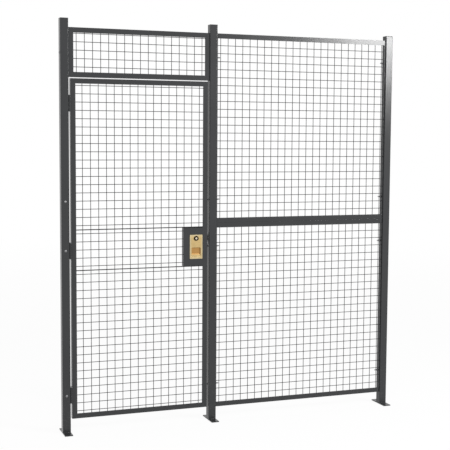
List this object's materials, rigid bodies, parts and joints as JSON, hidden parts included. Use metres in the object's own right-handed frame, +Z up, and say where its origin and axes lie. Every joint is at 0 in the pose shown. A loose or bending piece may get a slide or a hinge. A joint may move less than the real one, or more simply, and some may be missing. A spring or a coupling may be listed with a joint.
{
  "type": "wire mesh partition with door",
  "caption": "Free-standing welded wire mesh partition with square posts, a fixed mesh bay and a hinged mesh door with a key lock under a mesh transom.",
  "frame": {"origin": "on the floor, at the middle of the partition's width and of its foot plates' depth", "axes": "+X along the wall from the hinge post towards the mesh bay, -Y out of the front face that the door opens to, +Z up"},
  "size_m": [2.2944, 0.1778, 2.5717],
  "materials": {
    "charcoal_coat": "semi-gloss charcoal grey powder coat on steel",
    "charcoal_wire": "semi-gloss charcoal grey powder coat on steel wire",
    "black_plastic": "matte moulded plastic",
    "zinc_steel": "bright zinc plate",
    "satin_brass": "satin brass",
    "dark_cylinder": "dark oxidised brass",
    "bright_plug": "bright polished brass"
  },
  "bodies": {
    "frame": {"left_post": "charcoal_coat", "middle_post": "charcoal_coat", "right_post": "charcoal_coat", "left_foot_plate": "charcoal_coat", "middle_foot_plate": "charcoal_coat", "right_foot_plate": "charcoal_coat", "left_post_cap": "black_plastic", "middle_post_cap": "black_plastic", "right_post_cap": "black_plastic", "left_post_hole_plugs": "zinc_steel", "frame_bolts": "zinc_steel", "frame_nuts": "zinc_steel", "transom_top_rail": "charcoal_coat", "transom_bottom_rail": "charcoal_coat", "transom_left_stile": "charcoal_coat", "transom_right_stile": "charcoal_coat", "transom_mesh": "charcoal_wire", "upper_panel_top_rail": "charcoal_coat", "upper_panel_bottom_rail": "charcoal_coat", "upper_panel_left_stile": "charcoal_coat", "upper_panel_right_stile": "charcoal_coat", "upper_panel_mesh": "charcoal_wire", "lower_panel_top_rail": "charcoal_coat", "lower_panel_bottom_rail": "charcoal_coat", "lower_panel_left_stile": "charcoal_coat", "lower_panel_right_stile": "charcoal_coat", "lower_panel_mesh": "charcoal_wire", "top_hinge_post_leaf": "charcoal_coat", "middle_hinge_post_leaf": "charcoal_coat", "bottom_hinge_post_leaf": "charcoal_coat", "top_hinge_pin": "zinc_steel", "middle_hinge_pin": "zinc_steel", "bottom_hinge_pin": "zinc_steel", "hinge_post_screws": "zinc_steel", "strike_plate": "charcoal_coat", "strike_screws": "zinc_steel"},
    "door": {"door_top_rail": "charcoal_coat", "door_bottom_rail": "charcoal_coat", "door_hinge_stile": "charcoal_coat", "door_lock_stile": "charcoal_coat", "door_mesh": "charcoal_wire", "door_upper_rod": "charcoal_wire", "door_lower_rod": "charcoal_wire", "top_hinge_door_leaf": "charcoal_coat", "middle_hinge_door_leaf": "charcoal_coat", "bottom_hinge_door_leaf": "charcoal_coat", "hinge_door_screws": "zinc_steel", "lock_box": "charcoal_coat", "lock_box_cover": "charcoal_coat", "cover_screws": "zinc_steel", "lock_face_plate": "satin_brass", "lock_case": "zinc_steel", "lock_case_lid": "zinc_steel", "case_screws": "zinc_steel", "key_cylinder": "dark_cylinder"},
    "lock_bolt": {"lock_bolt": "satin_brass"},
    "key_plug": {"key_plug": "bright_plug"},
    "turn_knob": {"turn_knob": "satin_brass"}
  },
  "joints": [
    {"name": "door_swing", "type": "hinge", "parent": "frame", "child": "door", "pos_m": [-1.0865, -0.0254, 1.14932], "axis": [0, 0, -1], "range_deg": [0, 170]},
    {"name": "key_turn", "type": "hinge", "parent": "door", "child": "key_plug", "pos_m": [-0.2654, -0.01738, 1.2039], "axis": [0, 1, 0], "range_deg": [0, 90]},
    {"name": "bolt_slide", "type": "slide", "parent": "door", "child": "lock_bolt", "axis": [1, 0, 0], "range_m": [0, 0.025]},
    {"name": "knob_turn", "type": "hinge", "parent": "door", "child": "turn_knob", "pos_m": [-0.2654, 0.01588, 1.2039], "axis": [0, 1, 0], "range_deg": [0, 90]}
  ],
  "couplings": [
    {"joint": "key_turn", "follows": "bolt_slide", "rad_per_m": 62.83},
    {"joint": "knob_turn", "follows": "bolt_slide", "rad_per_m": 62.83}
  ]
}
